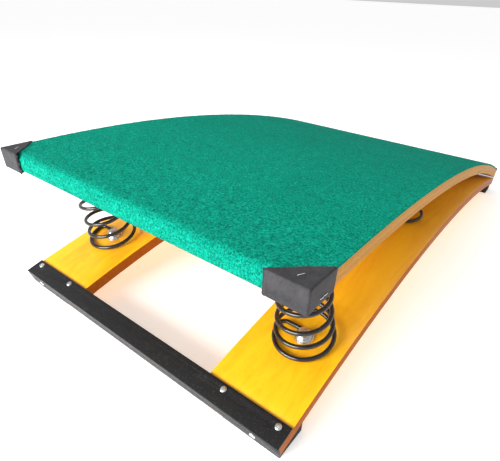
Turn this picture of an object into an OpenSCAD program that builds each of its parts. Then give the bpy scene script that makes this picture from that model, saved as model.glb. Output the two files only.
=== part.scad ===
// Spring-loaded take-off board for gymnastics vaulting.
// A bent plywood deck under carpet stands on coil springs over a bent plywood base,
// and the two meet at the tail. The nose with its corner caps faces -Y, the tail +Y.
// Places along the board are given as d, the distance behind the nose.

/* [Board] */
// Width of the deck and of the base
board_w = 600; // [560:10:640]
// Length of the deck from the nose to the tail
board_l = 1200; // [1180:5:1210]
// Height of the deck's wood at its highest point
deck_top = 266.5; // [262:0.5:285]

/* [Deck] */
// Thickness of the upper laminate
upper_ply_t = 13; // [11:1:14]
// Thickness of the lower laminate
lower_ply_t = 9; // [6:1:9]
// Thickness of the carpet
carpet_t = 4; // [3:0.5:5]
// Radius of the deck's bend
deck_r = 3170; // [3150:10:3300]
// Length of the straight part behind the nose
deck_flat = 80; // [70:5:90]
// Place of the joint in the lower laminate
lower_joint_d = 805; // [780:5:850]

/* [Base] */
// Thickness of the base panel
base_t = 21; // [18:1:22]
// Radius of the front half of the arch, at its underside
front_arch_r = 2200; // [2180:10:2250]
// Radius of the tail half of the arch, at its underside
tail_arch_r = 2750; // [2700:10:2750]
// Height of the underside at the top of the arch
arch_crest = 92; // [89:1:92]
// Place of the top of the arch
arch_mid = 560; // [555:1:560]
// Half of the gap between the two rails
rail_inner = 155; // [145:1:156]
// Where the gap between the rails ends
gap_end = 760; // [700:10:800]

/* [Crossbar] */
// Width of the crossbar's upper leg
bar_top_w = 33; // [30:1:36]
// Height of the crossbar's front leg
bar_front_h = 29; // [26:1:30]
// Wall of the crossbar
bar_t = 3; // [2.5:0.5:4]

/* [Springs] */
// Radius of a spring's lowest turn, at the middle of the wire
coil_r = 47; // [45:1:50]
// Radius of a spring's highest turn, at the middle of the wire
coil_top_r = 35; // [32:1:40]
// Diameter of the spring wire
wire_d = 7; // [6:0.5:7]
// Turns of a front spring
front_turns = 6; // [5.5:0.5:6.5]
// Turns of a rear spring
rear_turns = 4; // [3:0.5:4]
// Place of the front springs on the base
front_spring_d = 134; // [130:1:138]
// Place of the rear springs on the base
rear_spring_d = 560; // [550:2:570]

/* [Corner caps] */
// Length of the left cap along the nose
cap_left_x = 49; // [45:1:60]
// Length of the right cap along the nose
cap_right_x = 57; // [45:1:60]
// Length of a cap along the side
cap_y = 52; // [45:1:60]
// Thickness of the cap's sheet
cap_t = 2; // [1.5:0.5:2]

/* [Hidden] */

eps = 0.01;
round_fn = 48;
arc_fn = 720;

deck_t = upper_ply_t + lower_ply_t;
deck_z0 = deck_top - deck_r;

// The base runs from the crossbar to just short of the tail.
rail_front_d = -22;
rail_tail_d = board_l - 3;
gap_corner_r = 40;

// The arch is two arcs that meet at its crest.
function arch_r(d) = d < arch_mid ? front_arch_r : tail_arch_r;
function arch_z0(d) = arch_crest - arch_r(d);
function arch_angle(d) = asin((d - arch_mid) / (arch_r(d) + base_t));

// Foremost point of the board, the upper front edge of the crossbar.
bar_reach = -(arch_mid + (front_arch_r + base_t + bar_t) * sin(arch_angle(rail_front_d))
    - bar_t * cos(arch_angle(rail_front_d)));
mid_d = (board_l - bar_reach) / 2;
function at(d) = d - mid_d;

// Height of the base's upper face and of the deck's underside at a place.
function base_z(d) = arch_z0(d) + sqrt(pow(arch_r(d) + base_t, 2) - pow(d - arch_mid, 2));
function deck_angle(d) = d < deck_flat ? 0 : asin((d - deck_flat) / (deck_r - deck_t));
function under_z(d) = d < deck_flat ? deck_top - deck_t
    : deck_z0 + sqrt(pow(deck_r - deck_t, 2) - pow(d - deck_flat, 2));

nose_r = 8;
carpet_front = cap_t;
wood_front = carpet_front + carpet_t;
// The carpet is turned under the nose as far as this.
hem_d = 30;
strip_t = 2;
strip_w = 26;
wood_tail = board_l - 3;

bolt_r = 4;
cup_r = 16.5;
cup_h = 12;
cup_wall = 1.5;
nut_h = 6.5;
nut_r = 7.5;
washer_t = 2;
head_r = 9.5;
head_h = 4;
eye_r = 8;
bend_r = 12;
// Room between a flat washer, cup or head and the curved board that it bears on.
seat_gap = 0.1;

front_spring_x = 234;
rear_spring_x = 210;
// A spring stands square to the base, so a front one meets the deck nearer to the nose.
function deck_place(d) = d + (under_z(d) - base_z(d)) * tan(arch_angle(d));
// Each row holds x, the place on the base, the place on the deck and the turns.
SPRINGS = [
    [front_spring_x, front_spring_d, deck_place(front_spring_d), front_turns],
    [-front_spring_x, front_spring_d, deck_place(front_spring_d), front_turns],
    [rear_spring_x, rear_spring_d, deck_place(rear_spring_d), rear_turns],
    [-rear_spring_x, rear_spring_d, deck_place(rear_spring_d), rear_turns]
];

tail_bolt_d = board_l - 38;
tail_bolt_hole_r = 6;
// Distance from the deck's underside to the washers under the base, along a tail bolt.
tail_grip = (under_z(tail_bolt_d) - base_z(tail_bolt_d)) + base_t + 2.5;
// The tail bolts stand between the two tail feet.
tail_bolt_x = [-120, -40, 40, 120];

// The feet stand near the outer edge of each rail.
foot_w = 100;
foot_x = board_w / 2 - foot_w / 2 - 3;
front_foot = [rail_front_d + 8.5, rail_front_d + 62];
tail_foot = [board_l - 52, board_l - 8];

top_screw_x = [-284, -190, 190, 284];
front_screw_x = [-258, 258];

// ---------------------------------------------------------------- placing

// Puts its children on the base's upper face, with +Z square to the face.
module on_base(d, h = 0) {
    translate([0, at(arch_mid), arch_z0(d)])
        rotate([-arch_angle(d), 0, 0])
            translate([0, 0, arch_r(d) + base_t + h])
                children();
}

// Puts its children on the deck's underside, with +Z square to it.
module on_deck(d, h = 0) {
    if (d < deck_flat)
        translate([0, at(d), deck_top - deck_t + h]) children();
    else
        translate([0, at(deck_flat), deck_z0])
            rotate([-deck_angle(d), 0, 0])
                translate([0, 0, deck_r - deck_t + h])
                    children();
}

module x_cylinder(r, w) {
    rotate([0, 90, 0]) cylinder(r = r, h = w, center = true, $fn = arc_fn);
}

// A block from d0 to d1 across the board, from height z0 to z1.
module span_block(d0, d1, z0, z1, w = board_w) {
    translate([-w / 2, at(d0), z0]) cube([w, d1 - d0, z1 - z0]);
}

// A layer of the deck between two depths below the wood's upper face.
module deck_layer(depth0, depth1, d0, d1, w = board_w) {
    bend_d = max(d0, deck_flat);
    if (d0 < deck_flat)
        span_block(d0, min(d1, deck_flat), deck_top - depth1, deck_top - depth0, w);
    if (d1 > deck_flat)
        difference() {
            intersection() {
                translate([0, at(deck_flat), deck_z0]) x_cylinder(deck_r - depth0, w);
                span_block(bend_d, d1, 0, deck_top + 50, w);
            }
            translate([0, at(deck_flat), deck_z0]) x_cylinder(deck_r - depth1, w + 2);
        }
}

// ---------------------------------------------------------------- fasteners

// Hexagon nut with its bore, standing on the plane z = 0.
module hex_nut() {
    difference() {
        cylinder(r = nut_r, h = nut_h, $fn = 6);
        translate([0, 0, -1]) cylinder(r = bolt_r, h = nut_h + 2, $fn = round_fn);
    }
}

// Round-headed bolt with its head above z = 0 and its shank below.
module round_bolt(shank) {
    translate([0, 0, -shank]) cylinder(r = bolt_r, h = shank + eps, $fn = round_fn);
    intersection() {
        translate([0, 0, head_h - 14]) sphere(r = 14, $fn = round_fn);
        cylinder(r = head_r - 0.3, h = head_h, $fn = round_fn);
    }
}

module pan_screw(head, shank, r) {
    translate([0, 0, -shank]) cylinder(r = r, h = shank + eps, $fn = 24);
    intersection() {
        translate([0, 0, head / 2 - head]) sphere(r = head, $fn = round_fn);
        cylinder(r = head, h = head, $fn = round_fn);
    }
}

// Domed cup that clamps a spring's eye, with a slot for the wire's arm.
module spring_cup() {
    dome_r = (pow(cup_r, 2) + pow(cup_h, 2)) / (2 * cup_h);
    difference() {
        intersection() {
            translate([0, 0, cup_h - dome_r]) sphere(r = dome_r, $fn = round_fn);
            cylinder(r = cup_r + 1, h = cup_h, $fn = round_fn);
        }
        intersection() {
            translate([0, 0, cup_h - dome_r]) sphere(r = dome_r - cup_wall, $fn = round_fn);
            translate([0, 0, -1]) cylinder(r = cup_r + 1, h = cup_h, $fn = round_fn);
        }
        translate([0, 0, -1]) cylinder(r = bolt_r + 0.3, h = cup_h + 2, $fn = round_fn);
        translate([0, -eye_r - wire_d / 2 - 0.8, -1]) cube([cup_r + 2, wire_d + 1.6, wire_d + 2]);
    }
}

// ---------------------------------------------------------------- springs

// A spring lies flat for a stretch at each end. Its low turns are close and the others wider.
flat_turns = 0.3;
close_turns = 2.2;
wider_by = 0.38;
soft_turns = 0.25;
function soft_ramp(t) = t <= -soft_turns ? 0 : t >= soft_turns ? t
    : pow(t + soft_turns, 2) / (4 * soft_turns);
function climb(t, n) = soft_ramp(t - flat_turns) + wider_by * soft_ramp(t - close_turns)
    - (1 + wider_by) * soft_ramp(t - n + flat_turns);
// Share of the rise after t of n turns.
function rise(t, n) = climb(t, n) / climb(n, n);

// One end of the wire in its own plane: an eye round the bolt, an arm, and a bend into a turn.
function bend_x(r) = sqrt(pow(r - bend_r, 2) - pow(bend_r - eye_r, 2));
function join_a(r) = atan2(bend_r - eye_r, bend_x(r));
function end_points(r) = concat(
    [for (a = [-300:20:-90]) [eye_r * cos(a), eye_r * sin(a)]],
    [for (x = [8:8:bend_x(r) - 4]) [x, -eye_r]],
    [for (a = [-90:20:-10]) [bend_x(r) + bend_r * cos(a), bend_r - eye_r + bend_r * sin(a)]]
);

// The lower arm points to -X, and the upper one to where the turns end.
lower_turn = 180;
function upper_turn(turns) = lower_turn + join_a(coil_r) + join_a(coil_top_r) + 360 * turns;
function turned(p, a) = [p[0] * cos(a) - p[1] * sin(a), p[0] * sin(a) + p[1] * cos(a)];

// Whole wire of one spring as rows of x, y and the share of the height.
steps_per_turn = 20;
function wire_points(turns) = let (
    n = turns * steps_per_turn,
    low = end_points(coil_r),
    high = end_points(coil_top_r),
    start_a = lower_turn + join_a(coil_r)
) concat(
    [for (p = low) concat(turned(p, lower_turn), 0)],
    [for (i = [0:n]) let (
        share = rise(i / steps_per_turn, turns),
        r = coil_top_r + (coil_r - coil_top_r) * pow(1 - i / n, 2)
    ) concat(turned([r, 0], start_a + 360 * i / steps_per_turn), share)],
    [for (i = [len(high) - 1:-1:0])
        concat(turned([high[i][0], -high[i][1]], upper_turn(turns)), 1)]
);

// The coil's plane turns from square to the base to square to the deck.
function spring_point(p, spring) = let (
    base_d = spring[1],
    deck_d = spring[2],
    tilt = -(arch_angle(base_d) * (1 - p[2]) + deck_angle(deck_d) * p[2]),
    lift = wire_d / 2 + 0.1,
    low_a = arch_angle(base_d),
    high_a = deck_angle(deck_d),
    low = [at(base_d) + lift * sin(low_a), base_z(base_d) + lift * cos(low_a)],
    high = [at(deck_d) - lift * sin(high_a), under_z(deck_d) - lift * cos(high_a)],
    middle = low * (1 - p[2]) + high * p[2]
) [p[0], middle[0] + p[1] * cos(tilt), middle[1] + p[1] * sin(tilt)];

function unit(v) = v / norm(v);
wire_sides = 8;

// Rings of points round the wire, each square to its run.
function wire_rings(path) = [
    for (i = [0:len(path) - 1]) let (
        t = unit(path[min(i + 1, len(path) - 1)] - path[max(i - 1, 0)]),
        u = unit(cross(t, [0, 0, 1])),
        v = cross(u, t)
    ) for (k = [0:wire_sides - 1])
        path[i] + wire_d / 2 * (cos(360 * k / wire_sides) * u + sin(360 * k / wire_sides) * v)
];

module wire(path) {
    n = len(path);
    s = wire_sides;
    polyhedron(
        points = wire_rings(path),
        faces = concat(
            [[for (k = [0:s - 1]) k]],
            [for (i = [0:n - 2]) for (k = [0:s - 1])
                [i * s + k, (i + 1) * s + k, (i + 1) * s + (k + 1) % s, i * s + (k + 1) % s]],
            [[for (k = [s - 1:-1:0]) (n - 1) * s + k]]
        )
    );
}

module spring(i) {
    s = SPRINGS[i];
    color("#1b1b1d")
        translate([s[0], 0, 0])
            wire([for (p = wire_points(s[3])) spring_point(p, s)]);
}

module spring_front_right() { spring(0); }
module spring_front_left() { spring(1); }
module spring_rear_right() { spring(2); }
module spring_rear_left() { spring(3); }

// ---------------------------------------------------------------- base

// Outline of the gap between the rails, with round corners at its closed end.
module rail_gap() {
    difference() {
        span_block(rail_front_d - 30, gap_end, -1, arch_crest + base_t + 2, 2 * rail_inner);
        for (side = [-1, 1])
            translate([side * (rail_inner - gap_corner_r), at(gap_end - gap_corner_r), -2])
                difference() {
                    translate([side > 0 ? 0 : -gap_corner_r - 1, 0, 0])
                        cube([gap_corner_r + 1, gap_corner_r + 1, arch_crest + base_t + 6]);
                    translate([0, 0, -1])
                        cylinder(r = gap_corner_r, h = arch_crest + base_t + 8, $fn = 64);
                }
    }
}

// A solid under the arc of radius r + extra, between two places along the board.
module arch_slice(d0, d1, extra, w) {
    d = (d0 + d1) / 2;
    intersection() {
        translate([0, at(arch_mid), arch_z0(d)]) x_cylinder(arch_r(d) + extra, w);
        span_block(d0, d1, 0, arch_crest + extra + 10, w);
    }
}

module arch_layer(d0, d1) {
    d = (d0 + d1) / 2;
    difference() {
        arch_slice(d0, d1, base_t, board_w);
        translate([0, at(arch_mid), arch_z0(d)]) x_cylinder(arch_r(d), board_w + 2);
    }
}

module base_panel() {
    color("#e0a11c")
        difference() {
            union() {
                arch_layer(rail_front_d - 8, arch_mid);
                arch_layer(arch_mid, rail_tail_d);
            }
            on_base(rail_front_d) translate([-board_w / 2 - 1, -40, -60]) cube([board_w + 2, 40, 90]);
            rail_gap();
            for (s = SPRINGS)
                translate([s[0], 0, 0]) on_base(s[1], -base_t - 5)
                    cylinder(r = bolt_r + 0.3, h = base_t + 10, $fn = round_fn);
            for (x = tail_bolt_x)
                translate([x, 0, 0]) on_deck(tail_bolt_d, -tail_grip - 10)
                    cylinder(r = tail_bolt_hole_r, h = tail_grip + 10, $fn = round_fn);
            for (x = top_screw_x)
                translate([x, 0, 0]) on_base(rail_front_d) top_screw_hole();
            for (x = front_screw_x)
                translate([x, 0, 0]) on_base(rail_front_d) front_screw_hole();
            foot_screw_places() cylinder(r = foot_screw_r, h = foot_screw_l, $fn = 24);
        }
}

screw_r = 2.2;
top_screw_y = 21;
front_screw_z = -base_t / 2;

module top_screw_hole() {
    translate([0, top_screw_y, -15]) cylinder(r = screw_r, h = 30, $fn = 24);
}

module front_screw_hole() {
    translate([0, -10, front_screw_z]) rotate([-90, 0, 0]) cylinder(r = screw_r, h = 26, $fn = 24);
}

// Steel angle over the rails' front ends.
module front_crossbar() {
    color("#26262a")
        on_base(rail_front_d, 0)
            difference() {
                translate([-board_w / 2, -bar_t, bar_t - bar_front_h])
                    cube([board_w, bar_top_w, bar_front_h]);
                translate([-board_w / 2 - 1, 0, -bar_front_h - 1])
                    cube([board_w + 2, bar_top_w + 1, bar_front_h + 1]);
                for (x = top_screw_x) translate([x, 0, 0]) top_screw_hole();
                for (x = front_screw_x) translate([x, 0, 0]) front_screw_hole();
            }
}

module crossbar_top_screws() {
    color("#c8cacc")
        for (x = top_screw_x)
            translate([x, 0, 0]) on_base(rail_front_d, bar_t)
                translate([0, top_screw_y, 0]) pan_screw(5, 16, screw_r);
}

module crossbar_front_screws() {
    color("#c8cacc")
        for (x = front_screw_x)
            translate([x, 0, 0]) on_base(rail_front_d, front_screw_z)
                translate([0, -bar_t, 0]) rotate([90, 0, 0]) pan_screw(5, 16, screw_r);
}

foot_screw_dx = 30;
foot_screw_r = 2.1;
foot_screw_l = 24;
foot_seat_z = 6;
foot_screw_d = [rail_front_d + 30, board_l - 18];

// Children at each foot screw, with +Z up and z = 0 at the seat of its head.
module foot_screw_places() {
    for (side = [-1, 1], x = [-foot_screw_dx, foot_screw_dx], d = foot_screw_d)
        translate([side * foot_x + x, at(d), foot_seat_z]) children();
}

// Rubber block that fills the wedge between the arch and the floor.
module foot(side, span) {
    color("#141414")
        difference() {
            translate([side * foot_x, 0, 0]) arch_slice(span[0], span[1], -0.02, foot_w);
            foot_screw_places() {
                cylinder(r = foot_screw_r + 0.3, h = 40, $fn = 24);
                translate([0, 0, -foot_seat_z - 1]) cylinder(r = 6, h = foot_seat_z + 1, $fn = round_fn);
            }
        }
}

module front_foot_left() { foot(-1, front_foot); }
module front_foot_right() { foot(1, front_foot); }
module tail_foot_left() { foot(-1, tail_foot); }
module tail_foot_right() { foot(1, tail_foot); }

module foot_screws() {
    color("#9a9c9e")
        foot_screw_places() {
            translate([0, 0, -2]) cylinder(r = foot_screw_r, h = foot_screw_l + 2, $fn = 24);
            translate([0, 0, -3]) cylinder(r = 4.5, h = 3, $fn = 24);
        }
}

module lower_spring_cups() {
    color("#b9bcc0")
        for (s = SPRINGS)
            translate([s[0], 0, 0]) on_base(s[1]) rotate([0, 0, lower_turn]) spring_cup();
}

module lower_spring_bolts() {
    color("#d2d4d6")
        for (s = SPRINGS)
            translate([s[0], 0, 0]) on_base(s[1], cup_h) round_bolt(cup_h + base_t + washer_t + nut_h + 2);
}

module nut_and_washer() {
    difference() {
        cylinder(r = 12, h = washer_t, $fn = round_fn);
        translate([0, 0, -1]) cylinder(r = bolt_r, h = 6, $fn = round_fn);
    }
    translate([0, 0, -nut_h]) hex_nut();
}

module lower_spring_nuts() {
    color("#a9acaf")
        for (s = SPRINGS)
            translate([s[0], 0, 0]) on_base(s[1], -base_t - seat_gap - washer_t) nut_and_washer();
}

// ---------------------------------------------------------------- deck

module deck_bolt_holes(r_head) {
    for (s = SPRINGS)
        translate([s[0], 0, 0]) on_deck(s[2], -5) {
            cylinder(r = bolt_r + 0.3, h = deck_t + 10, $fn = round_fn);
            translate([0, 0, deck_t - seat_gap - head_h + 5]) cylinder(r = r_head, h = 20, $fn = round_fn);
        }
    for (x = tail_bolt_x)
        translate([x, 0, 0]) on_deck(tail_bolt_d, -5) {
            cylinder(r = bolt_r + 0.3, h = deck_t + 10, $fn = round_fn);
            translate([0, 0, deck_t - seat_gap - head_h + 5]) cylinder(r = r_head, h = 20, $fn = round_fn);
        }
}

module deck_board() {
    color("#c8924f")
        difference() {
            deck_layer(0, upper_ply_t, wood_front, wood_tail);
            // The nose is rounded over its upper edge.
            difference() {
                span_block(wood_front - 1, wood_front + nose_r, deck_top - nose_r, deck_top + 1,
                    board_w + 2);
                translate([0, at(wood_front + nose_r), deck_top - nose_r]) x_cylinder(nose_r, board_w + 4);
            }
            deck_bolt_holes(head_r);
        }
}

module deck_lower_laminate() {
    color("#bd8645")
        difference() {
            deck_layer(upper_ply_t, deck_t, wood_front, lower_joint_d);
            deck_bolt_holes(head_r);
        }
}

joint_gap = 7;

module tail_doubler() {
    color("#bd8645")
        difference() {
            deck_layer(upper_ply_t, deck_t, lower_joint_d + joint_gap, wood_tail);
            deck_bolt_holes(head_r);
        }
}

// Carpet over the whole deck, drawn over the round of the nose and turned under it.
module deck_carpet() {
    bend_d = wood_front + nose_r;
    bend_z = deck_top - nose_r;
    hem_z = deck_top - deck_t;
    color("#12916f") {
        deck_layer(-carpet_t, 0, bend_d, wood_tail);
        span_block(carpet_front, wood_front, hem_z, bend_z);
        span_block(wood_front, hem_d, hem_z - carpet_t, hem_z);
        intersection() {
            translate([0, at(wood_front), hem_z]) x_cylinder(carpet_t, board_w);
            span_block(carpet_front, wood_front, hem_z - carpet_t, hem_z);
        }
        difference() {
            intersection() {
                translate([0, at(bend_d), bend_z]) x_cylinder(nose_r + carpet_t, board_w);
                span_block(carpet_front, bend_d, bend_z, deck_top + carpet_t + 1);
            }
            translate([0, at(bend_d), bend_z]) x_cylinder(nose_r, board_w + 2);
        }
    }
}

// ---------------------------------------------------------------- trim

cap_top = deck_top + carpet_t + cap_t;
cap_foot = deck_top - deck_t - carpet_t - cap_t;
cap_side = board_w / 2 + cap_t;
// The cap stands a little off the carpet's round nose.
cap_front = -3;

// Folded sheet over one front corner, open towards the deck.
module corner_cap(side, cap_x) {
    color("#2c2c30")
        difference() {
            translate([0, at(0), cap_foot])
                linear_extrude(height = cap_top - cap_foot)
                    polygon([
                        [side * cap_side, cap_front],
                        [side * (cap_side - cap_x), cap_front],
                        [side * (cap_side - cap_x), 1],
                        [side * (cap_side - cap_x * 0.45), cap_y * 0.63],
                        [side * cap_side, cap_y]
                    ]);
            translate([-board_w / 2, at(carpet_front), cap_foot + cap_t])
                cube([board_w, 200, cap_top - cap_foot - 2 * cap_t]);
        }
}

module corner_cap_left() { corner_cap(-1, cap_left_x); }
module corner_cap_right() { corner_cap(1, cap_right_x); }

// Crown of a wire staple, lying along X on the sheet.
module staple(l) {
    translate([-l / 2, -0.5, 0]) cube([l, 1, 0.7]);
}

module cap_staples() {
    color("#d6d8da")
        for (side = [-1, 1]) {
            translate([side * 280, at(15), cap_top]) rotate([0, 0, side * 62]) staple(9);
            for (d = [24, 32])
                translate([side * cap_side, at(d), cap_foot + 10])
                    rotate([0, side * 90, 0]) rotate([0, 0, 90]) staple(6);
        }
}

// Black strip over the carpet's tail edge, turned down over the end of the wood.
module tail_edge_strip() {
    color("#18181a") {
        deck_layer(-carpet_t - strip_t, -carpet_t, board_l - strip_w, wood_tail);
        intersection() {
            span_block(wood_tail, board_l, 0, deck_top);
            deck_layer(-carpet_t - strip_t, strip_t, wood_tail - 1, board_l + 1);
        }
    }
}

strip_nails = 9;

module tail_strip_nails() {
    color("#b8babd")
        for (i = [0:strip_nails - 1])
            translate([(i - (strip_nails - 1) / 2) * (board_w - 40) / (strip_nails - 1), 0, 0])
                on_deck(board_l - strip_w, deck_t + carpet_t + strip_t)
                    cylinder(r = 3, h = 0.8, $fn = 24);
}

module upper_spring_cups() {
    color("#b9bcc0")
        for (s = SPRINGS)
            translate([s[0], 0, 0]) on_deck(s[2], -seat_gap)
                mirror([0, 0, 1]) rotate([0, 0, upper_turn(s[3])]) mirror([0, 1, 0]) spring_cup();
}

module upper_spring_bolts() {
    color("#d2d4d6")
        for (s = SPRINGS)
            translate([s[0], 0, 0]) on_deck(s[2], deck_t - seat_gap - head_h)
                round_bolt(deck_t - head_h + cup_h + nut_h + 2);
}

module upper_spring_nuts() {
    color("#a9acaf")
        for (s = SPRINGS)
            translate([s[0], 0, 0]) on_deck(s[2], -seat_gap - cup_h - nut_h) hex_nut();
}

module tail_bolts() {
    color("#d2d4d6")
        for (x = tail_bolt_x)
            translate([x, 0, 0]) on_deck(tail_bolt_d, deck_t - seat_gap - head_h)
                round_bolt(deck_t - head_h + tail_grip + washer_t + nut_h + 2);
}

module tail_washers() {
    color("#a9acaf")
        for (x = tail_bolt_x)
            translate([x, 0, 0]) on_deck(tail_bolt_d, -tail_grip - washer_t)
                difference() {
                    cylinder(r = 12, h = washer_t, $fn = round_fn);
                    translate([0, 0, -1]) cylinder(r = bolt_r, h = 6, $fn = round_fn);
                }
}

module tail_nuts() {
    color("#a9acaf")
        for (x = tail_bolt_x)
            translate([x, 0, 0]) on_deck(tail_bolt_d, -tail_grip - washer_t - nut_h) hex_nut();
}

// ---------------------------------------------------------------- nodes

base_panel();
front_crossbar();
crossbar_top_screws();
crossbar_front_screws();
front_foot_left();
front_foot_right();
tail_foot_left();
tail_foot_right();
foot_screws();
lower_spring_cups();
lower_spring_bolts();
lower_spring_nuts();
spring_front_left();
spring_front_right();
spring_rear_left();
spring_rear_right();
deck_board();
deck_lower_laminate();
tail_doubler();
deck_carpet();
corner_cap_left();
corner_cap_right();
cap_staples();
tail_edge_strip();
tail_strip_nails();
upper_spring_cups();
upper_spring_bolts();
upper_spring_nuts();
tail_bolts();
tail_washers();
tail_nuts();
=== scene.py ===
"""Looks of a sprung gymnastics take-off board: carpeted deck, coil springs and lacquered arched base.

Metres throughout. -Y is the raised nose with its corner caps, +Y the low tail, +Z up.
"""
import math

import bmesh
import bpy
from mathutils import Matrix, Vector, noise


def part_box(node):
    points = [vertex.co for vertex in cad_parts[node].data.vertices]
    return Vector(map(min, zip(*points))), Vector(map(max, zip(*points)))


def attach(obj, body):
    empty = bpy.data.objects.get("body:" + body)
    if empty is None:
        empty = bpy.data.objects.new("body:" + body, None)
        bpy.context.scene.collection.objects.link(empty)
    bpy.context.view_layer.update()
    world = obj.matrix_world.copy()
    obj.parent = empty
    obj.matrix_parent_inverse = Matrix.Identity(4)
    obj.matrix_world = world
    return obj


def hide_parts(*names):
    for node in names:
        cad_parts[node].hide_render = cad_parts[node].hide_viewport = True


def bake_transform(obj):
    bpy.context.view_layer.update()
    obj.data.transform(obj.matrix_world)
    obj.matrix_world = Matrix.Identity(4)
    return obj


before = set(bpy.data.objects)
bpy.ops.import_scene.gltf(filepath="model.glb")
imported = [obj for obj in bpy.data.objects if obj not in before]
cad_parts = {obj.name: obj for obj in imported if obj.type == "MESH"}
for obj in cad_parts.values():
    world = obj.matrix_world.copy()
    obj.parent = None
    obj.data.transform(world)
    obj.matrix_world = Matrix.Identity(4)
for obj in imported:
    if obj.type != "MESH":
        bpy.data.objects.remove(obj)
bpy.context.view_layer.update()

MM = 0.001

# Sizes read off the frame
deck_low, deck_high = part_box("deck_board")
base_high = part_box("base_panel")[1]
carpet_low, carpet_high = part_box("deck_carpet")

HALF_W = deck_high[0]
DECK_TOP = deck_high[2]
WOOD_FRONT = deck_low[1]
WOOD_TAIL = deck_high[1]
CARPET_FRONT = carpet_low[1]
NOSE = CARPET_FRONT - 2 * MM
CARPET_T = carpet_high[2] - DECK_TOP

# Shape of the bent boards, as the design gives it
NOSE_R = 8 * MM
DECK_R = 3170 * MM
DECK_FLAT = 80 * MM
DECK_T = 22 * MM
BASE_T = 21 * MM
HEM_D = 30 * MM
HEM_R = 0.5 * MM
ARCH_MID = 560 * MM
ARCH_FRONT_R = 2200 * MM
ARCH_TAIL_R = 2750 * MM
ARCH_CREST = base_high[2] - BASE_T

BEND_Y = NOSE + DECK_FLAT
BEND_Z = DECK_TOP - DECK_R


# ---------------------------------------------------------------- working by hand

def select_only(obj):
    bpy.ops.object.select_all(action="DESELECT")
    obj.select_set(True)
    bpy.context.view_layer.objects.active = obj


def edit(obj, kind="FACE"):
    """Opens obj in edit mode with nothing selected."""
    select_only(obj)
    bpy.ops.object.mode_set(mode="EDIT")
    bpy.ops.mesh.select_mode(type=kind)
    bpy.ops.mesh.select_all(action="DESELECT")


def done():
    bpy.ops.object.mode_set(mode="OBJECT")


def pick(obj, kind, test):
    """Selects the faces, edges or vertices of obj whose middle passes the test, and nothing else."""
    done()
    edit(obj, kind)
    done()
    mesh = obj.data
    if kind == "FACE":
        for face in mesh.polygons:
            face.select = test(face.center, face.normal)
    elif kind == "EDGE":
        for edge in mesh.edges:
            a, b = (mesh.vertices[i].co for i in edge.vertices)
            edge.select = test((a + b) / 2, (b - a).normalized())
    else:
        for vertex in mesh.vertices:
            vertex.select = test(vertex.co, vertex.normal)
    bpy.ops.object.mode_set(mode="EDIT")


def named(name):
    obj = bpy.context.active_object
    obj.name = name
    obj.data.name = name
    return obj


def settle(obj):
    """Puts the place of obj into its mesh."""
    select_only(obj)
    bpy.ops.object.transform_apply(location=True, rotation=True, scale=True)


def apply_modifier(obj, kind, **settings):
    select_only(obj)
    modifier = obj.modifiers.new(kind.lower(), kind)
    for key, value in settings.items():
        setattr(modifier, key, value)
    bpy.ops.object.modifier_apply(modifier=modifier.name)


def smooth(obj, angle=38):
    select_only(obj)
    bpy.ops.object.shade_smooth_by_angle(angle=math.radians(angle))


def face_out(obj):
    edit(obj)
    bpy.ops.mesh.select_all(action="SELECT")
    bpy.ops.mesh.normals_make_consistent(inside=False)
    done()


def dress(obj, body, slot, *materials):
    """Gives a finished piece its materials and its body; its slot argument is not used."""
    obj.data.materials.clear()
    for material in materials:
        obj.data.materials.append(material)
    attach(obj, body)
    return obj


def join(pieces, name):
    bpy.ops.object.select_all(action="DESELECT")
    for piece in pieces:
        piece.select_set(True)
    bpy.context.view_layer.objects.active = pieces[0]
    bpy.ops.object.join()
    return named(name)


# ---------------------------------------------------------------- materials

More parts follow.
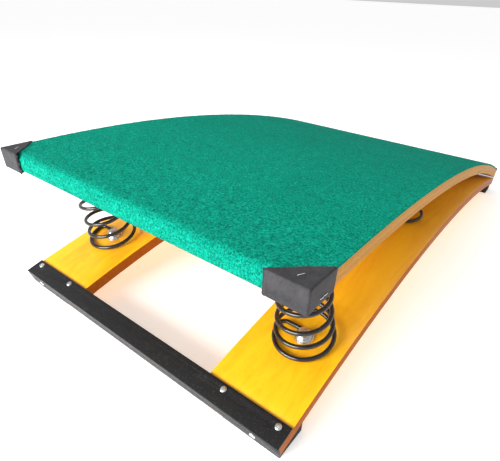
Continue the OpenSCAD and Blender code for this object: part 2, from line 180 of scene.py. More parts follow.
class Shader:
    """A node material with one Principled shader, built a node at a time."""

    def __init__(self, name, **sockets):
        self.material = bpy.data.materials.new(name)
        self.material.use_nodes = True
        self.tree = self.material.node_tree
        self.bsdf = self.tree.nodes["Principled BSDF"]
        for key, value in sockets.items():
            self.bsdf.inputs[key.replace("_", " ")].default_value = value
        self.coords = self.add("ShaderNodeTexCoord").outputs["Object"]

    def add(self, kind, **settings):
        node = self.tree.nodes.new(kind)
        for key, value in settings.items():
            setattr(node, key, value)
        return node

    def link(self, source, target):
        self.tree.links.new(source, target)

    def mapping(self, scale=(1, 1, 1), place=(0, 0, 0)):
        node = self.add("ShaderNodeMapping")
        node.inputs["Scale"].default_value = scale
        node.inputs["Location"].default_value = place
        self.link(self.coords, node.inputs["Vector"])
        return node.outputs["Vector"]

    def noise(self, scale, detail=4, roughness=0.55, vector=None, distortion=0.0):
        node = self.add("ShaderNodeTexNoise")
        node.inputs["Scale"].default_value = scale
        node.inputs["Detail"].default_value = detail
        node.inputs["Roughness"].default_value = roughness
        node.inputs["Distortion"].default_value = distortion
        self.link(vector or self.coords, node.inputs["Vector"])
        return node.outputs["Fac"]

    def cells(self, scale, feature="F1", vector=None):
        node = self.add("ShaderNodeTexVoronoi", feature=feature)
        node.inputs["Scale"].default_value = scale
        self.link(vector or self.coords, node.inputs["Vector"])
        return node.outputs["Distance"]

    def maths(self, operation, a, b=None, clamp=False):
        node = self.add("ShaderNodeMath", operation=operation, use_clamp=clamp)
        for socket, value in zip(node.inputs, (a, b)):
            if value is None:
                continue
            if isinstance(value, (int, float)):
                socket.default_value = value
            else:
                self.link(value, socket)
        return node.outputs["Value"]

    def ramp(self, value, *stops):
        node = self.add("ShaderNodeValToRGB")
        band = node.color_ramp
        while len(band.elements) < len(stops):
            band.elements.new(0.5)
        for element, (place, colour) in zip(band.elements, stops):
            element.position = place
            element.color = (*colour, 1) if len(colour) == 3 else colour
        self.link(value, node.inputs["Fac"])
        return node.outputs["Color"]

    def blend(self, factor, a, b, kind="MIX"):
        node = self.add("ShaderNodeMix", data_type="RGBA", blend_type=kind)
        if isinstance(factor, (int, float)):
            node.inputs["Factor"].default_value = factor
        else:
            self.link(factor, node.inputs["Factor"])
        for socket, value in ((node.inputs[6], a), (node.inputs[7], b)):
            if isinstance(value, tuple):
                socket.default_value = (*value, 1)
            else:
                self.link(value, socket)
        return node.outputs[2]

    def spread(self, value, low, high):
        """Turns a value of 0 to 1 into one from low to high."""
        return self.maths("ADD", self.maths("MULTIPLY", value, high - low), low)

    def colour(self, value):
        self.link(value, self.bsdf.inputs["Base Color"])

    def roughness(self, value):
        self.link(value, self.bsdf.inputs["Roughness"])

    def bump(self, height, distance, strength=1.0):
        node = self.add("ShaderNodeBump")
        node.inputs["Strength"].default_value = strength
        node.inputs["Distance"].default_value = distance
        self.link(height, node.inputs["Height"])
        self.link(node.outputs["Normal"], self.bsdf.inputs["Normal"])

    def depth_below(self, peak_y, peak_z, front_radius, rear_radius):
        """Depth in metres below a board whose upper face bends from its peak with these two radii."""
        parts = self.add("ShaderNodeSeparateXYZ")
        self.link(self.coords, parts.inputs["Vector"])
        y = self.maths("SUBTRACT", parts.outputs["Y"], peak_y)
        behind = self.maths("GREATER_THAN", y, 0)
        bend = self.spread(behind, 1 / front_radius if front_radius else 0, 1 / rear_radius)
        sag = self.maths("MULTIPLY", self.maths("MULTIPLY", y, y), self.maths("MULTIPLY", bend, 0.5))
        drop = self.maths("SUBTRACT", peak_z, parts.outputs["Z"])
        return self.maths("SUBTRACT", drop, sag)


def carpet_material():
    s = Shader("green_pile_carpet", Roughness=0.95, Specular_IOR_Level=0.04)
    tufts = s.noise(420, detail=3, roughness=0.7)
    clumps = s.noise(95, detail=4, roughness=0.6)
    worn = s.noise(5.5, detail=3)
    speck = s.ramp(tufts, (0.36, (0.0008, 0.12, 0.08)), (0.5, (0.0015, 0.28, 0.19)),
                   (0.66, (0.010, 0.44, 0.30)))
    tone = s.ramp(clumps, (0.3, (0.80, 0.82, 0.82)), (0.7, (1.12, 1.10, 1.10)))
    shade = s.ramp(worn, (0.3, (0.93, 0.95, 0.95)), (0.7, (1.05, 1.04, 1.04)))
    s.colour(s.blend(1.0, s.blend(1.0, speck, tone, "MULTIPLY"), shade, "MULTIPLY"))
    s.roughness(s.spread(clumps, 0.88, 1.0))
    s.bump(s.maths("ADD", tufts, s.maths("MULTIPLY", clumps, 0.6)), 0.0022, 0.9)
    return s.material


def ply_edge_material(name, bend, light, dark, veneer=2.1 * MM, gloss=0.42):
    """Edge of a bent plywood board: thin layers that follow the bend, end grain in every second one."""
    s = Shader(name, Roughness=gloss, Specular_IOR_Level=0.05)
    depth = s.depth_below(*bend)
    wander = s.maths("MULTIPLY", s.maths("SUBTRACT", s.noise(9, detail=2), 0.5), 0.5 * MM)
    layers = s.maths("MULTIPLY", s.maths("ADD", depth, wander), math.pi / veneer)
    wave = s.spread(s.maths("SINE", layers), 0.5, 1.0)
    grain = s.noise(60, detail=6, roughness=0.7, vector=s.mapping((1, 2.2, 9)))
    pores = s.noise(900, detail=2, roughness=0.8)
    mix = s.maths("ADD", s.maths("MULTIPLY", wave, 0.32), s.maths("MULTIPLY", grain, 0.80))
    wood = s.ramp(mix, (0.28, dark), (0.62, light), (0.9, tuple(min(1, 1.25 * c) for c in light)))
    s.colour(s.blend(s.maths("MULTIPLY", pores, 0.35), wood, dark))
    s.roughness(s.spread(grain, gloss - 0.1, gloss + 0.2))
    s.bump(s.maths("ADD", wave, pores), 0.0003, 0.6)
    return s.material


def ply_face_material(name, light, dark, gloss, coat):
    """Face veneer with its grain along the board."""
    s = Shader(name, Roughness=gloss, Coat_Weight=coat, Coat_Roughness=0.12)
    stretched = s.mapping((16, 1.1, 16))
    rings = s.noise(3.2, detail=5, roughness=0.62, vector=stretched, distortion=0.6)
    fibres = s.noise(48, detail=3, roughness=0.7, vector=stretched)
    patches = s.noise(2.4, detail=2)
    mix = s.maths("ADD", s.maths("MULTIPLY", rings, 0.6), s.maths("MULTIPLY", fibres, 0.25))
    mix = s.maths("ADD", mix, s.maths("MULTIPLY", patches, 0.15))
    s.colour(s.ramp(mix, (0.36, dark), (0.56, light), (0.72, tuple(min(1, 1.06 * c) for c in light))))
    s.roughness(s.spread(patches, gloss * 0.7, gloss * 1.4))
    s.bump(fibres, 0.00012, 0.5)
    return s.material


def crossbar_material():
    s = Shader("speckled_black_paint", Roughness=0.45, Specular_IOR_Level=0.25)
    specks = s.ramp(s.noise(620, detail=2, roughness=0.8), (0.60, (0.010, 0.010, 0.011)),
                    (0.70, (0.07, 0.07, 0.074)))
    scuffs = s.ramp(s.noise(38, detail=6, roughness=0.75), (0.60, (0, 0, 0)), (0.76, (1, 1, 1)))
    s.colour(s.blend(s.maths("MULTIPLY", scuffs, 0.25), specks, (0.12, 0.12, 0.12)))
    s.roughness(s.spread(s.noise(140, detail=4), 0.3, 0.62))
    s.bump(s.noise(500, detail=3, roughness=0.7), 0.0004, 0.5)
    return s.material


def metal_material(name, colour, roughness, brushed=220):
    s = Shader(name, Metallic=1.0, Roughness=roughness)
    marks = s.noise(brushed, detail=5, roughness=0.7)
    blotch = s.noise(60, detail=3)
    dull = tuple(0.72 * c for c in colour)
    s.colour(s.blend(s.maths("MULTIPLY", blotch, 0.7), colour, dull))
    s.roughness(s.spread(marks, roughness * 0.6, roughness * 1.6))
    s.bump(marks, 0.00003, 0.25)
    return s.material


def enamel_material():
    s = Shader("gloss_black_enamel", Roughness=0.2, Coat_Weight=0.3, Coat_Roughness=0.06)
    s.colour(s.ramp(s.noise(55, detail=5, roughness=0.7), (0.35, (0.004, 0.004, 0.005)),
                    (0.75, (0.016, 0.016, 0.018))))
    s.roughness(s.spread(s.noise(90, detail=3), 0.14, 0.32))
    s.bump(s.noise(240, detail=2), 0.00012, 0.5)
    return s.material


def leathercloth_material():
    s = Shader("black_leathercloth", Roughness=0.5, Specular_IOR_Level=0.15)
    pebbles = s.cells(900)
    folds = s.noise(70, detail=5, roughness=0.65)
    s.colour(s.ramp(s.maths("ADD", s.maths("MULTIPLY", folds, 0.8), s.maths("MULTIPLY", pebbles, 0.3)),
                    (0.3, (0.018, 0.017, 0.020)), (0.75, (0.060, 0.058, 0.062))))
    s.roughness(s.spread(folds, 0.36, 0.66))
    s.bump(s.maths("ADD", pebbles, s.maths("MULTIPLY", folds, 2.0)), 0.0005, 0.7)
    return s.material


def rubber_material(name, level, grain=260):
    s = Shader(name, Roughness=0.72, Specular_IOR_Level=0.3)
    dust = s.noise(30, detail=5, roughness=0.7)
    s.colour(s.ramp(dust, (0.35, (level, level, level)), (0.8, (2.6 * level, 2.5 * level, 2.4 * level))))
    s.roughness(s.spread(dust, 0.6, 0.9))
    s.bump(s.noise(grain, detail=3, roughness=0.7), 0.0004, 0.6)
    return s.material


def floor_material():
    s = Shader("pale_studio_floor", Roughness=0.85, Specular_IOR_Level=0.2)
    s.colour(s.ramp(s.noise(3, detail=3), (0.3, (0.90, 0.90, 0.90)), (0.7, (0.93, 0.93, 0.93))))
    s.bsdf.inputs["Emission Color"].default_value = (1, 1, 1, 1)
    s.bsdf.inputs["Emission Strength"].default_value = 0.42
    return s.material


ARCH_Y = NOSE + ARCH_MID
DECK_BEND = (BEND_Y, DECK_TOP, 0, DECK_R)
BASE_BEND = (ARCH_Y, ARCH_CREST + BASE_T, ARCH_FRONT_R + BASE_T, ARCH_TAIL_R + BASE_T)
CARPET = carpet_material()
DECK_EDGE = ply_edge_material("varnished_ply_edge", DECK_BEND, (0.66, 0.33, 0.070), (0.38, 0.155, 0.026))
DECK_FACE = ply_face_material("varnished_ply_face", (0.60, 0.35, 0.14), (0.42, 0.21, 0.07), 0.4, 0.3)
BASE_FRONT_EDGE = ply_edge_material("stained_ply_edge", BASE_BEND, (0.52, 0.135, 0.006), (0.24, 0.048, 0.003),
                                    veneer=1.6 * MM, gloss=0.35)
LACQUER = ply_face_material("yellow_lacquer", (0.98, 0.51, 0.008), (0.90, 0.38, 0.004), 0.32, 0.15)
BAR_PAINT = crossbar_material()
ZINC = metal_material("bright_zinc", (0.80, 0.81, 0.83), 0.24)
STEEL = metal_material("staple_steel", (0.86, 0.87, 0.88), 0.2)
ENAMEL = enamel_material()
LEATHERCLOTH = leathercloth_material()
FOOT_RUBBER = rubber_material("foot_rubber", 0.012)
STRIP_RUBBER = rubber_material("edge_strip_rubber", 0.014, grain=420)


# ---------------------------------------------------------------- softened copies of CAD nodes

def softened(node, name, width, segments=2, angle=45):
    """A copy of a CAD node with its corners eased, as sanding, paint and wear leave them."""
    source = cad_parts[node]
    select_only(source)
    bpy.ops.object.duplicate()
    piece = named(name)
    piece.parent = None
    piece.matrix_world = source.matrix_world.copy()
    settle(piece)
    for key in list(piece.keys()):
        del piece[key]
    edit(piece, "VERT")
    bpy.ops.mesh.select_all(action="SELECT")
    bpy.ops.mesh.remove_doubles(threshold=0.01 * MM)
    bpy.ops.mesh.dissolve_limited(angle_limit=math.radians(0.4))
    done()
    apply_modifier(piece, "BEVEL", width=width, segments=segments, limit_method="ANGLE",
                   angle_limit=math.radians(angle), use_clamp_overlap=True)
    smooth(piece, 30)
    return piece


def paint_edges(piece, slot, test):
    """Gives the faces that pass the test the material in that slot."""
    for face in piece.data.polygons:
        if test(face.normal):
            face.material_index = slot


def soft_node(node, body, slot, material, width, segments=2):
    piece = softened(node, node + "_finished", width, segments)
    dress(piece, body, slot, material)
    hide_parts(node)
    return piece


def wooden_node(node, body, slot, face, edge, width, is_edge):
    piece = softened(node, node + "_finished", width)
    dress(piece, body, slot, face, edge)
    paint_edges(piece, 1, is_edge)
    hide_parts(node)
    return piece


def cut_edge(normal):
    return abs(normal.x) > 0.5 or abs(normal.y) > 0.8


def make_boards():
    wooden_node("base_panel", "base", "yellow_lacquer_ply", LACQUER, BASE_FRONT_EDGE, 1.2 * MM, cut_edge)
    for node in ("deck_board", "deck_lower_laminate", "tail_doubler"):
        wooden_node(node, "deck", "bare_ply", DECK_FACE, DECK_EDGE, 0.5 * MM, cut_edge)


def make_plain_fittings():
    soft_node("front_crossbar", "base", "black_paint_steel", BAR_PAINT, 1.2 * MM, segments=3)
    for side in ("left", "right"):
        soft_node("front_foot_" + side, "base", "foot_rubber", FOOT_RUBBER, 2.0 * MM)
        soft_node("tail_foot_" + side, "base", "foot_rubber", FOOT_RUBBER, 2.0 * MM)
    for node in ("foot_screws", "lower_spring_cups", "lower_spring_bolts", "lower_spring_nuts"):
        soft_node(node, "base", "zinc", ZINC, 0.35 * MM)
    for node in ("upper_spring_cups", "upper_spring_bolts", "upper_spring_nuts",
                 "tail_bolts", "tail_washers", "tail_nuts"):
        soft_node(node, "deck", "zinc", ZINC, 0.35 * MM)
    soft_node("tail_edge_strip", "deck", "edge_strip", STRIP_RUBBER, 0.8 * MM)
    soft_node("tail_strip_nails", "deck", "staple_steel", STEEL, 0.35 * MM)


# ---------------------------------------------------------------- carpet

PILE_ACROSS = 124
PILE_CELL = 2 * HALF_W / PILE_ACROSS


def make_carpet():
    """The cut carpet: it starts under the nose, goes up and over its round, and along the deck."""
    bend_y = WOOD_FRONT + NOSE_R
    bend_z = DECK_TOP - NOSE_R
    under = DECK_TOP - DECK_T
    fold_y, fold_z = WOOD_FRONT + HEM_R, under + HEM_R
    bpy.ops.object.select_all(action="DESELECT")
    bpy.ops.mesh.primitive_grid_add(x_subdivisions=PILE_ACROSS, y_subdivisions=1, size=1,
                                    location=(0, NOSE + HEM_D, under - CARPET_T / 2),
                                    rotation=(math.radians(90), 0, 0))
    carpet = named("carpet")
    carpet.scale = (2 * HALF_W, CARPET_T, 1)
    settle(carpet)
    edit(carpet)
    bpy.ops.mesh.select_all(action="SELECT")
    hem_steps = 5
    for _ in range(hem_steps):
        step = (fold_y - NOSE - HEM_D) / hem_steps
        bpy.ops.mesh.extrude_region_move(TRANSFORM_OT_translate={"value": (0, step, 0)})
    bpy.ops.mesh.spin(steps=3, angle=math.radians(90), center=(0, fold_y, fold_z), axis=(1, 0, 0))
    rise_steps = 3
    for _ in range(rise_steps):
        step = (bend_z - fold_z) / rise_steps
        bpy.ops.mesh.extrude_region_move(TRANSFORM_OT_translate={"value": (0, 0, step)})
    bpy.ops.mesh.spin(steps=5, angle=math.radians(90), center=(0, bend_y, bend_z), axis=(1, 0, 0))
    flat_steps = round((BEND_Y - bend_y) / PILE_CELL)
    for _ in range(flat_steps):
        step = (BEND_Y - bend_y) / flat_steps
        bpy.ops.mesh.extrude_region_move(TRANSFORM_OT_translate={"value": (0, step, 0)})
    sweep = math.asin((WOOD_TAIL - BEND_Y) / DECK_R)
    bpy.ops.mesh.spin(steps=round(sweep * DECK_R / PILE_CELL), angle=sweep,
                      center=(0, BEND_Y, BEND_Z), axis=(1, 0, 0))
    bpy.ops.mesh.select_all(action="SELECT")
    bpy.ops.mesh.remove_doubles(threshold=0.02 * MM)
    done()
    face_out(carpet)
    roughen_pile(carpet)
    smooth(carpet, 60)
    dress(carpet, "deck", "green_carpet", CARPET)
    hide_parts("deck_carpet")


def roughen_pile(carpet):
    """Makes the upper side of the pile slightly uneven."""
    group = carpet.vertex_groups.new(name="pile")
    top = []
    for vertex in carpet.data.vertices:
        y, z = vertex.co.y, vertex.co.z
        above = math.hypot(y - BEND_Y, z - BEND_Z) - DECK_R if y > BEND_Y else z - DECK_TOP
        if above > 0.6 * CARPET_T or y < CARPET_FRONT + 0.3 * CARPET_T:
            top.append(vertex.index)
    group.add(top, 1.0, "REPLACE")
    clouds = bpy.data.textures.new("pile_clouds", "CLOUDS")
    clouds.noise_scale = 0.009
    clouds.noise_depth = 2
    apply_modifier(carpet, "DISPLACE", texture=clouds, strength=1.1 * MM, mid_level=0.62,
                   texture_coords="LOCAL", vertex_group="pile")


# ---------------------------------------------------------------- corner caps

CAP_T = 1.8 * MM
CAP_FOLD_R = 2.6 * MM
CAP_BULGE = 3.0 * MM
CAP_LIP = 4 * MM
CAP_WAIST = (0.45, 0.65)


def make_cap(side):
    """Leathercloth folded over one front corner, open towards the deck."""
    name = "left" if side < 0 else "right"
    low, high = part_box("corner_cap_" + name)
    size = high - low
    corner = Vector((high.x if side > 0 else low.x, low.y, 0))
    bpy.ops.object.select_all(action="DESELECT")
    bpy.ops.mesh.primitive_cube_add(size=1, location=(low + high) / 2)
    cap = named("corner_cap_sheet_" + name)
    cap.scale = size
    settle(cap)
    # The open side is cut in two straight runs that meet at a waist.
    inner = corner + Vector((-side * size.x, CAP_LIP, 0))
    waist = corner + Vector((-side * CAP_WAIST[0] * size.x, CAP_WAIST[1] * size.y, 0))
    rear = corner + Vector((0, size.y, 0))
    edit(cap)
    for first, last in ((inner, waist), (waist, rear)):
        along = (last - first).normalized()
        away = Vector((-along.y, along.x, 0)) * side
        bpy.ops.mesh.select_all(action="SELECT")
        bpy.ops.mesh.bisect(plane_co=first, plane_no=away, use_fill=False, clear_outer=True,
                            threshold=1e-6)
    # The folded edges are round.
    folds_up, folds_down = high.z - 1e-4, low.z + 1e-4
    pick(cap, "EDGE", lambda middle, run: not edge_is_open(cap, middle) and (
        middle.z > folds_up or middle.z < folds_down or abs(run.z) > 0.9))
    bpy.ops.mesh.bevel(offset=CAP_FOLD_R, segments=4, profile=0.5, affect="EDGES")
    done()
    apply_modifier(cap, "SUBSURF", subdivision_type="SIMPLE", levels=4, render_levels=4)
    rumple_cap(cap, corner, side, size)
    face_out(cap)
    apply_modifier(cap, "SOLIDIFY", thickness=CAP_T, offset=-1, use_rim=True)
    smooth(cap, 60)
    dress(cap, "deck", "cap_leathercloth", LEATHERCLOTH)
    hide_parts("corner_cap_" + name)


def edge_is_open(obj, middle):
    """True where only one face meets the edge whose middle this is."""
    mesh = obj.data
    count = 0
    for face in mesh.polygons:
        for a, b in face.edge_keys:
            place = (mesh.vertices[a].co + mesh.vertices[b].co) / 2
            count += (place - middle).length < 1e-6
    return count < 2


def rumple_cap(cap, corner, side, size):
    """Soft lumps and a slack open edge, all of them inwards so that the cap keeps its size."""
    for vertex in cap.data.vertices:
        x = abs(vertex.co.x - corner.x) / size.x
        y = (vertex.co.y - corner.y) / size.y
        along = min(1, x + y)
        flat = max(0, min(x, 1 - x) * 4) * max(0, min(y, 1 - y) * 4)
        lumps = noise.noise(vertex.co * 42) + 0.5 * noise.noise(vertex.co * 95)
        dent = (0.35 + 0.65 * abs(lumps)) * 0.9 * MM
        inward = Vector((-side * (x < 0.06), float(y < 0.06), 0))
        vertex.co += inward * dent * min(1, 6 * x + 6 * y - 0.36 if x + y > 0.06 else 0)
        if min(x, y) > 0.06:
            vertex.co.z -= dent * min(1, flat) * (1 if vertex.co.z > DECK_TOP else -0.4)
        slack = CAP_BULGE * along ** 3 * math.sin(math.pi * min(1, max(0, y)))
        vertex.co += Vector((side, -1, 0)).normalized() * slack * 0.35


def wire_staple(name, length, place, turn):
    """A staple driven into the leathercloth: a round crown that bends down at both ends."""
    wire_r, bend_r, sunk = 0.5 * MM, 0.9 * MM, 1.2 * MM
    bpy.ops.object.select_all(action="DESELECT")
    bpy.ops.mesh.primitive_circle_add(vertices=10, radius=wire_r, fill_type="NGON",
                                      location=(-length / 2, 0, -sunk))
    staple = named(name)
    settle(staple)
    edit(staple)
    bpy.ops.mesh.select_all(action="SELECT")
    bpy.ops.mesh.extrude_region_move(TRANSFORM_OT_translate={"value": (0, 0, sunk - bend_r + wire_r)})
    crown = wire_r - bend_r
    bpy.ops.mesh.spin(steps=4, angle=math.radians(-90), center=(bend_r - length / 2, 0, crown),
                      axis=(0, 1, 0))
    bpy.ops.mesh.extrude_region_move(TRANSFORM_OT_translate={"value": (length - 2 * bend_r, 0, 0)})
    bpy.ops.mesh.spin(steps=4, angle=math.radians(-90), center=(length / 2 - bend_r, 0, crown),
                      axis=(0, 1, 0))
    bpy.ops.mesh.extrude_region_move(TRANSFORM_OT_translate={"value": (0, 0, crown - sunk)})
    bpy.ops.mesh.select_all(action="SELECT")
    bpy.ops.mesh.remove_doubles(threshold=0.01 * MM)
    done()
    face_out(staple)
    staple.matrix_world = Matrix.Translation(place) @ turn
    settle(staple)
    smooth(staple, 60)
    return staple


TOP_STAPLE_X = 280 * MM
TOP_STAPLE_D = 15 * MM
TOP_STAPLE_TURN = 62
SIDE_STAPLE_D = (24 * MM, 32 * MM)
SIDE_STAPLE_H = 10 * MM


def make_staples():
    low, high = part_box("corner_cap_right")
    upright = Matrix.Rotation(math.radians(90), 4, "X")
    staples = []
    for side in (-1, 1):
        turn = Matrix.Rotation(math.radians(side * TOP_STAPLE_TURN), 4, "Z")
        place = (side * TOP_STAPLE_X, NOSE + TOP_STAPLE_D, high.z - 0.7 * MM)
        staples.append(wire_staple("top_staple", 9 * MM, place, turn))
        for y in SIDE_STAPLE_D:
            turn = Matrix.Rotation(math.radians(side * 90), 4, "Z") @ upright
            place = (side * (high.x - 0.2 * MM), NOSE + y, low.z + SIDE_STAPLE_H)
            staples.append(wire_staple("side_staple", 6 * MM, place, turn))
    staples = join(staples, "wire_staples")
    dress(staples, "deck", "staple_steel", STEEL)
    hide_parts("cap_staples")


# ---------------------------------------------------------------- screws

HEAD_R = 5 * MM
HEAD_H = 2.6 * MM
SCREW_R = 2.2 * MM
SCREW_L = 16 * MM


def cross_screw(name, place):
    """A pan-headed screw with a cross recess, standing square to its seat."""
    bpy.ops.object.select_all(action="DESELECT")
    bpy.ops.mesh.primitive_cylinder_add(vertices=40, radius=SCREW_R, depth=SCREW_L,
                                        location=(0, 0, -SCREW_L / 2))
    screw = named(name)
    settle(screw)
    pick(screw, "FACE", lambda middle, normal: normal.z > 0.9)
    bpy.ops.mesh.extrude_region_move(TRANSFORM_OT_translate={"value": (0, 0, 0)})
    bpy.ops.transform.resize(value=(HEAD_R / SCREW_R, HEAD_R / SCREW_R, 1), center_override=(0, 0, 0))
    bpy.ops.mesh.extrude_region_move(TRANSFORM_OT_translate={"value": (0, 0, HEAD_H * 0.35)})
    for share, drop in ((0.93, 0.25), (0.78, 0.22), (0.55, 0.13), (0.3, 0.05)):
        bpy.ops.mesh.extrude_region_move(TRANSFORM_OT_translate={"value": (0, 0, HEAD_H * drop)})
        now = HEAD_R * share
        size = max(math.hypot(v.co.x, v.co.y) for v in bmesh.from_edit_mesh(screw.data).verts if v.select)
        bpy.ops.transform.resize(value=(now / size, now / size, 1), center_override=(0, 0, 0))
    done()
    face_out(screw)
    for turn in (0, 90):
        bpy.ops.object.select_all(action="DESELECT")
        bpy.ops.mesh.primitive_cube_add(size=1, location=(0, 0, HEAD_H), rotation=(0, 0, math.radians(turn)))
        slot = named("recess")
        slot.scale = (4.8 * MM, 1.1 * MM, 2.6 * MM)
        apply_modifier(screw, "BOOLEAN", operation="DIFFERENCE", object=slot, solver="EXACT")
        bpy.data.objects.remove(slot)
    screw.matrix_world = place
    settle(screw)
    smooth(screw, 35)
    return screw


def on_base(d, h=0.0):
    """Placing on the base's upper face, with +Z square to it."""
    radius = ARCH_FRONT_R if d < ARCH_MID else ARCH_TAIL_R
    return Matrix.Translation((0, NOSE + ARCH_MID, ARCH_CREST - radius)) \
        @ Matrix.Rotation(-arch_slope(d), 4, "X") @ Matrix.Translation((0, 0, radius + BASE_T + h))


RAIL_FRONT_D = -22 * MM
BAR_T = 3 * MM
TOP_SCREW_Y = 21 * MM
TOP_SCREW_X = (-284, -190, 190, 284)
FRONT_SCREW_X = (-258, 258)


def make_crossbar_screws():
    rows = (
        ("crossbar_top_screws", TOP_SCREW_X,
         on_base(RAIL_FRONT_D, BAR_T) @ Matrix.Translation((0, TOP_SCREW_Y, 0))),
        ("crossbar_front_screws", FRONT_SCREW_X,
         on_base(RAIL_FRONT_D, -BASE_T / 2) @ Matrix.Translation((0, -BAR_T, 0))
         @ Matrix.Rotation(math.radians(90), 4, "X")),
    )
    for node, places, seat in rows:
        screws = []
        for i, x in enumerate(places):
            twist = Matrix.Rotation(math.radians(23 + 31 * i), 4, "Z")
            screws.append(cross_screw("screw", Matrix.Translation((x * MM, 0, 0)) @ seat @ twist))
        row = join(screws, node + "_cross")
        dress(row, "base", "zinc", ZINC)
        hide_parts(node)


# ---------------------------------------------------------------- springs

WIRE_R = 3.5 * MM
COIL_R = 47 * MM
COIL_TOP_R = 35 * MM
FLAT_TURNS = 0.3
CLOSE_TURNS = 2.2
WIDER_BY = 0.38
SOFT_TURNS = 0.25
EYE_R = 8 * MM
BEND_R = 12 * MM
RING_STEPS = 36


def spring_ends(coil_r):
    """The wire's flat end: an eye round the bolt, a straight arm, and a bend into the coil."""
    bend_x = math.sqrt((coil_r - BEND_R) ** 2 - (BEND_R - EYE_R) ** 2)
    eye = [(EYE_R * math.cos(a), EYE_R * math.sin(a))
           for a in (math.radians(d) for d in range(-300, -90, 15))]
    arm = [(x * MM, -EYE_R) for x in range(0, int(bend_x / MM), 6)]
    bend = [(bend_x + BEND_R * math.cos(a), BEND_R - EYE_R + BEND_R * math.sin(a))
            for a in (math.radians(d) for d in range(-90, 0, 15))]
    return eye + arm + bend, math.atan2(BEND_R - EYE_R, bend_x)


def soft_ramp(t):
    if t <= -SOFT_TURNS:
        return 0.0
    return t if t >= SOFT_TURNS else (t + SOFT_TURNS) ** 2 / (4 * SOFT_TURNS)


def climb(t, turns):
    """How far t turns have climbed: flat at both ends, close low down and wider above."""
    return soft_ramp(t - FLAT_TURNS) + WIDER_BY * soft_ramp(t - CLOSE_TURNS) \
        - (1 + WIDER_BY) * soft_ramp(t - turns + FLAT_TURNS)


def turned(x, y, angle):
    c, s = math.cos(angle), math.sin(angle)
    return x * c - y * s, x * s + y * c


def spring_path(turns):
    """Points of the whole wire as (x, y, share of the height)."""
    low, low_join = spring_ends(COIL_R)
    high, high_join = spring_ends(COIL_TOP_R)
    path = [(*turned(x, y, math.pi), 0.0) for x, y in low]
    count = turns * RING_STEPS
    for i in range(count + 1):
        t = i / RING_STEPS
        radius = COIL_TOP_R + (COIL_R - COIL_TOP_R) * (1 - i / count) ** 2
        angle = math.pi + low_join + 2 * math.pi * t
        path.append((*turned(radius, 0, angle), climb(t, turns) / climb(turns, turns)))
    last = math.pi + low_join + high_join + 2 * math.pi * turns
    return path + [(*turned(x, -y, last), 1.0) for x, y in reversed(high)]


def arch_slope(d):
    radius = ARCH_FRONT_R if d < ARCH_MID else ARCH_TAIL_R
    return math.asin((d - ARCH_MID) / (radius + BASE_T))


def arch_height(d):
    radius = ARCH_FRONT_R if d < ARCH_MID else ARCH_TAIL_R
    return ARCH_CREST - radius + math.sqrt((radius + BASE_T) ** 2 - (d - ARCH_MID) ** 2)


def deck_slope(d):
    return math.asin((d - DECK_FLAT) / (DECK_R - DECK_T))


def deck_under(d):
    return BEND_Z + math.sqrt((DECK_R - DECK_T) ** 2 - (d - DECK_FLAT) ** 2)


def deck_place(d):
    """Where a line that stands square on the base at d meets the deck."""
    return d + (deck_under(d) - arch_height(d)) * math.tan(arch_slope(d))


def make_spring(name, x, d, turns):
    """One coil spring, its lower turn flat on the base and its upper turn flat on the deck."""
    top_d = deck_place(d)
    foot, head = -arch_slope(d), -deck_slope(top_d)
    lift = WIRE_R + 0.1 * MM
    low = Vector((x, NOSE + d - lift * math.sin(foot), arch_height(d) + lift * math.cos(foot)))
    high = Vector((x, NOSE + top_d + lift * math.sin(head),
                   deck_under(top_d) - lift * math.cos(head)))
    bpy.ops.object.select_all(action="DESELECT")
    bpy.ops.curve.primitive_nurbs_path_add()
    wire = named(name + "_wire")
    wire.data.splines.clear()
    path = spring_path(turns)
    spline = wire.data.splines.new("POLY")
    spline.points.add(len(path) - 1)
    for point, (px, py, share) in zip(spline.points, path):
        tilt = foot * (1 - share) + head * share
        place = low.lerp(high, share) + Vector((px, py * math.cos(tilt), py * math.sin(tilt)))
        point.co = (*place, 1)
    wire.location = (0, 0, 0)
    wire.data.bevel_depth = WIRE_R
    wire.data.bevel_resolution = 4
    wire.data.use_fill_caps = True
    select_only(wire)
    bpy.ops.object.convert(target="MESH")
    wire = named(name + "_wire")
    settle(wire)
    smooth(wire, 50)
    wire.data.materials.clear()
    wire.data.materials.append(ENAMEL)
    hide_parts(name)


# Each row holds the end of the board, the place across, the place along and the turns.
SPRING_ROWS = (("front", 234 * MM, 134 * MM, 6), ("rear", 210 * MM, 560 * MM, 4))


def make_springs():
    for end, x, d, turns in SPRING_ROWS:
        for side_name, side in (("left", -1), ("right", 1)):
            name = "spring_" + end + "_" + side_name
            make_spring(name, side * x, d, turns)
            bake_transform(bpy.data.objects[name + "_wire"])


# ---------------------------------------------------------------- studio

def make_floor():
    bpy.ops.object.select_all(action="DESELECT")
    bpy.ops.mesh.primitive_plane_add(size=400, location=(0, 0, -0.2 * MM))
    floor = named("studio_floor")
    floor.data.materials.append(floor_material())


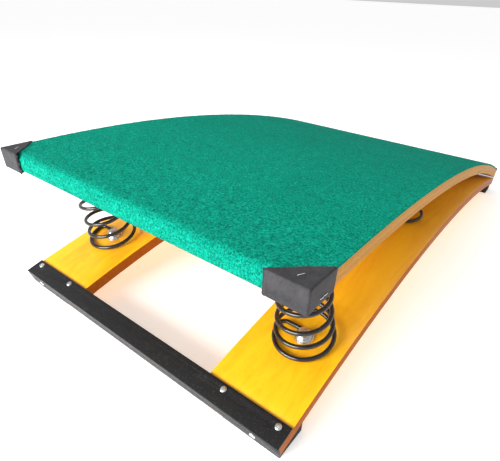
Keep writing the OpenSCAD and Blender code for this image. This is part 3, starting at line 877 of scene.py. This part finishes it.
def area_light(name, place, target, size, power, colour=(1, 1, 1)):
    data = bpy.data.lights.new(name, "AREA")
    data.shape = "RECTANGLE"
    data.size, data.size_y = size
    data.energy = power
    data.color = colour
    lamp = bpy.data.objects.new(name, data)
    lamp.location = place
    lamp.rotation_mode = "QUATERNION"
    lamp.rotation_quaternion = (Vector(target) - Vector(place)).to_track_quat("-Z", "Y")
    bpy.context.scene.collection.objects.link(lamp)


def make_lights():
    world = bpy.data.worlds.new("studio_air")
    world.use_nodes = True
    background = world.node_tree.nodes["Background"]
    background.inputs["Color"].default_value = (1, 1, 1, 1)
    background.inputs["Strength"].default_value = 0.6
    bpy.context.scene.world = world
    area_light("front_softbox", (-0.5, -2.4, 0.9), (0, -0.4, 0.15), (1.6, 0.9), 85)
    area_light("top_softbox", (-0.4, 0.2, 2.4), (0, 0.1, 0.1), (2.0, 2.0), 14)


CAMERA_TURN = (35.85, 34.89, 2.87)
CAMERA_PLACE = (0.4367, -0.274, 0.4976)
LENS = 28.82
LENS_SHIFT = (-0.0172, 0.0866)


def make_camera():
    """A short lens close to the right end of the nose, looking down along the board."""
    yaw, pitch, roll = (math.radians(a) for a in CAMERA_TURN)
    forward = Vector((-math.sin(yaw) * math.cos(pitch), math.cos(yaw) * math.cos(pitch), -math.sin(pitch)))
    flat_right = Vector((math.cos(yaw), math.sin(yaw), 0))
    flat_up = flat_right.cross(forward)
    right = flat_right * math.cos(roll) + flat_up * math.sin(roll)
    up = flat_up * math.cos(roll) - flat_right * math.sin(roll)
    data = bpy.data.cameras.new("camera")
    data.sensor_width = 36
    data.lens = LENS
    data.shift_x, data.shift_y = LENS_SHIFT
    camera = bpy.data.objects.new("camera", data)
    turn = Matrix((right, up, -forward)).transposed().to_4x4()
    x, y, z = CAMERA_PLACE
    camera.matrix_world = Matrix.Translation((x, NOSE + y, z)) @ turn
    bpy.context.scene.collection.objects.link(camera)
    bpy.context.scene.camera = camera


make_camera()
make_boards()
make_plain_fittings()
make_carpet()
make_cap(-1)
make_cap(1)
make_staples()
make_crossbar_screws()
make_springs()
make_floor()
make_lights()

bpy.context.scene.view_settings.view_transform = "Standard"
